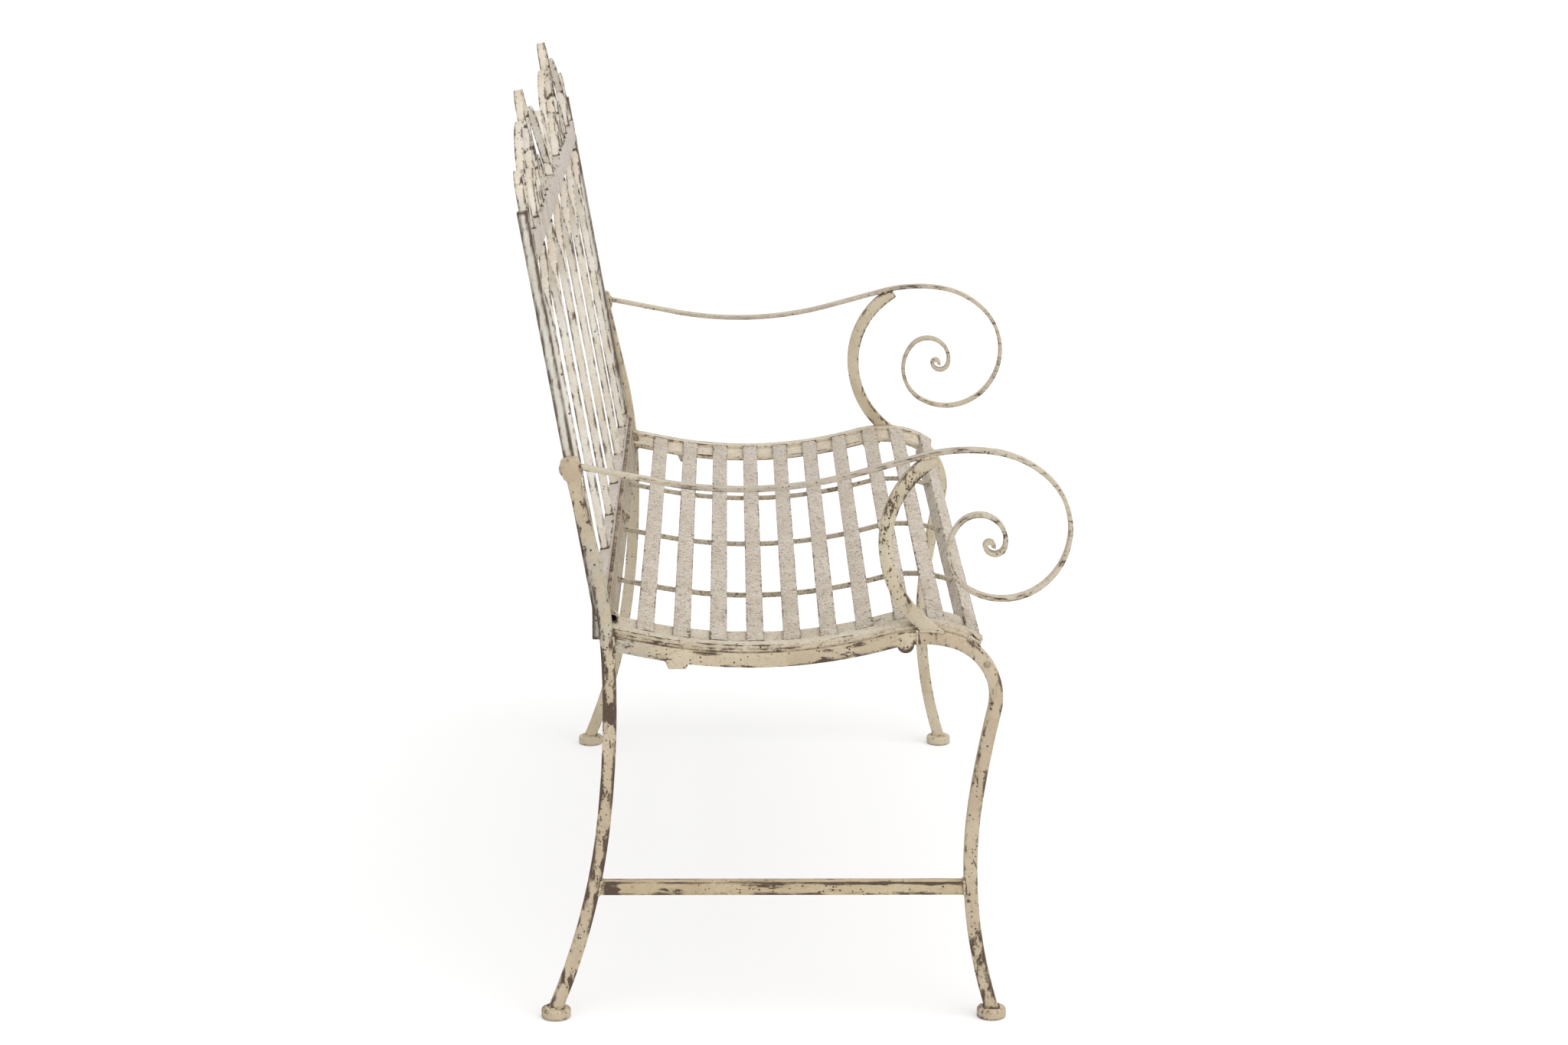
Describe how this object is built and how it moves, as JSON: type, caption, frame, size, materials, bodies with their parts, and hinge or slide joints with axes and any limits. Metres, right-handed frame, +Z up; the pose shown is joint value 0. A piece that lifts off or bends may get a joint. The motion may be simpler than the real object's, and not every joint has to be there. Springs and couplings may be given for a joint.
{
  "type": "metal bench",
  "caption": "Metal garden bench with scrolled arms, a dished seat of flat slats and a leaning back of paired ribbons under an interlaced arch crest.",
  "frame": {"origin": "centre of the footprint on the ground, under the middle of the overall box", "axes": "+X along the bench towards the sitter's left hand, +Y from front to back, +Z up"},
  "size_m": [1.1324, 0.6164, 1.0038],
  "materials": {
    "side_frame_paint": "warm beige paint, chipped to dark metal along the edges",
    "back_paint": "ivory paint, rubbed thin and chipped",
    "seat_paint": "grey beige paint, finely speckled with wear",
    "fastener_paint": "painted over, dirty bolt heads"
  },
  "bodies": {
    "root": {"right_front_leg": "side_frame_paint", "right_rear_leg": "side_frame_paint", "right_side_rail": "side_frame_paint", "right_stretcher": "side_frame_paint", "right_front_foot": "side_frame_paint", "right_rear_foot": "side_frame_paint", "right_arm": "side_frame_paint", "right_arm_support": "side_frame_paint", "right_seat_flange": "seat_paint", "right_stile": "back_paint", "left_front_leg": "side_frame_paint", "left_rear_leg": "side_frame_paint", "left_side_rail": "side_frame_paint", "left_stretcher": "side_frame_paint", "left_front_foot": "side_frame_paint", "left_rear_foot": "side_frame_paint", "left_arm": "side_frame_paint", "left_arm_support": "side_frame_paint", "left_seat_flange": "seat_paint", "left_stile": "back_paint", "top_rail": "back_paint", "bottom_rail": "back_paint", "right_bar_1": "back_paint", "right_bar_2": "back_paint", "right_bar_3": "back_paint", "left_bar_1": "back_paint", "left_bar_2": "back_paint", "left_bar_3": "back_paint", "right_arch_outer": "back_paint", "right_arch_inner": "back_paint", "right_loops": "back_paint", "right_peak": "back_paint", "right_hairpin": "back_paint", "left_arch_outer": "back_paint", "left_arch_inner": "back_paint", "left_loops": "back_paint", "left_peak": "back_paint", "left_hairpin": "back_paint", "middle_hairpin": "back_paint", "slat_1": "seat_paint", "slat_2": "seat_paint", "slat_3": "seat_paint", "slat_4": "seat_paint", "slat_5": "seat_paint", "slat_6": "seat_paint", "slat_7": "seat_paint", "slat_8": "seat_paint", "slat_9": "seat_paint", "front_slat": "seat_paint", "seat_rail": "seat_paint", "rod_1": "seat_paint", "rod_2": "seat_paint", "rod_3": "seat_paint", "seat_bolts": "fastener_paint", "arm_bolts": "fastener_paint", "knee_rivets": "fastener_paint"}
  },
  "joints": []
}
